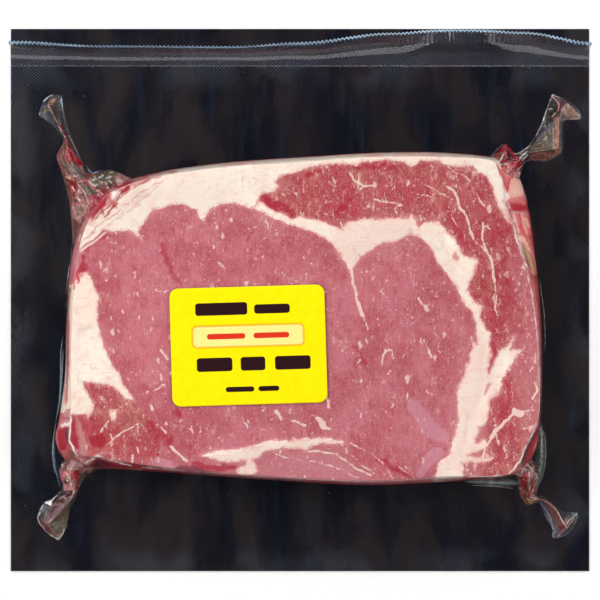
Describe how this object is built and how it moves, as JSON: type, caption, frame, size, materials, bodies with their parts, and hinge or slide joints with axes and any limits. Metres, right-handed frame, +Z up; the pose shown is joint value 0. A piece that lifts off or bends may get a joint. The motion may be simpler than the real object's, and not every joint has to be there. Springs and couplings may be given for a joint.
{
  "type": "vacuum packed raw rib eye steak",
  "caption": "Raw boneless rib eye steak vacuum sealed under clear film on a flat black backing, with gathered film corners, a curled peel flap and a plain yellow label.",
  "frame": {"origin": "centre of the backing film's underside", "axes": "+X along the pack's wider side, +Y towards the end with the peel flap, +Z up out of the meat's face"},
  "size_m": [0.216, 0.2026, 0.0238],
  "materials": {
    "backing": "glossy black film",
    "film": "thin clear film",
    "meat": "raw red meat with cream fat, wet under tight clear film",
    "label": "satin yellow sticker"
  },
  "bodies": {
    "root": {"backing_film": "backing", "clear_film": "film", "steak": "meat", "label": "label"}
  },
  "joints": []
}
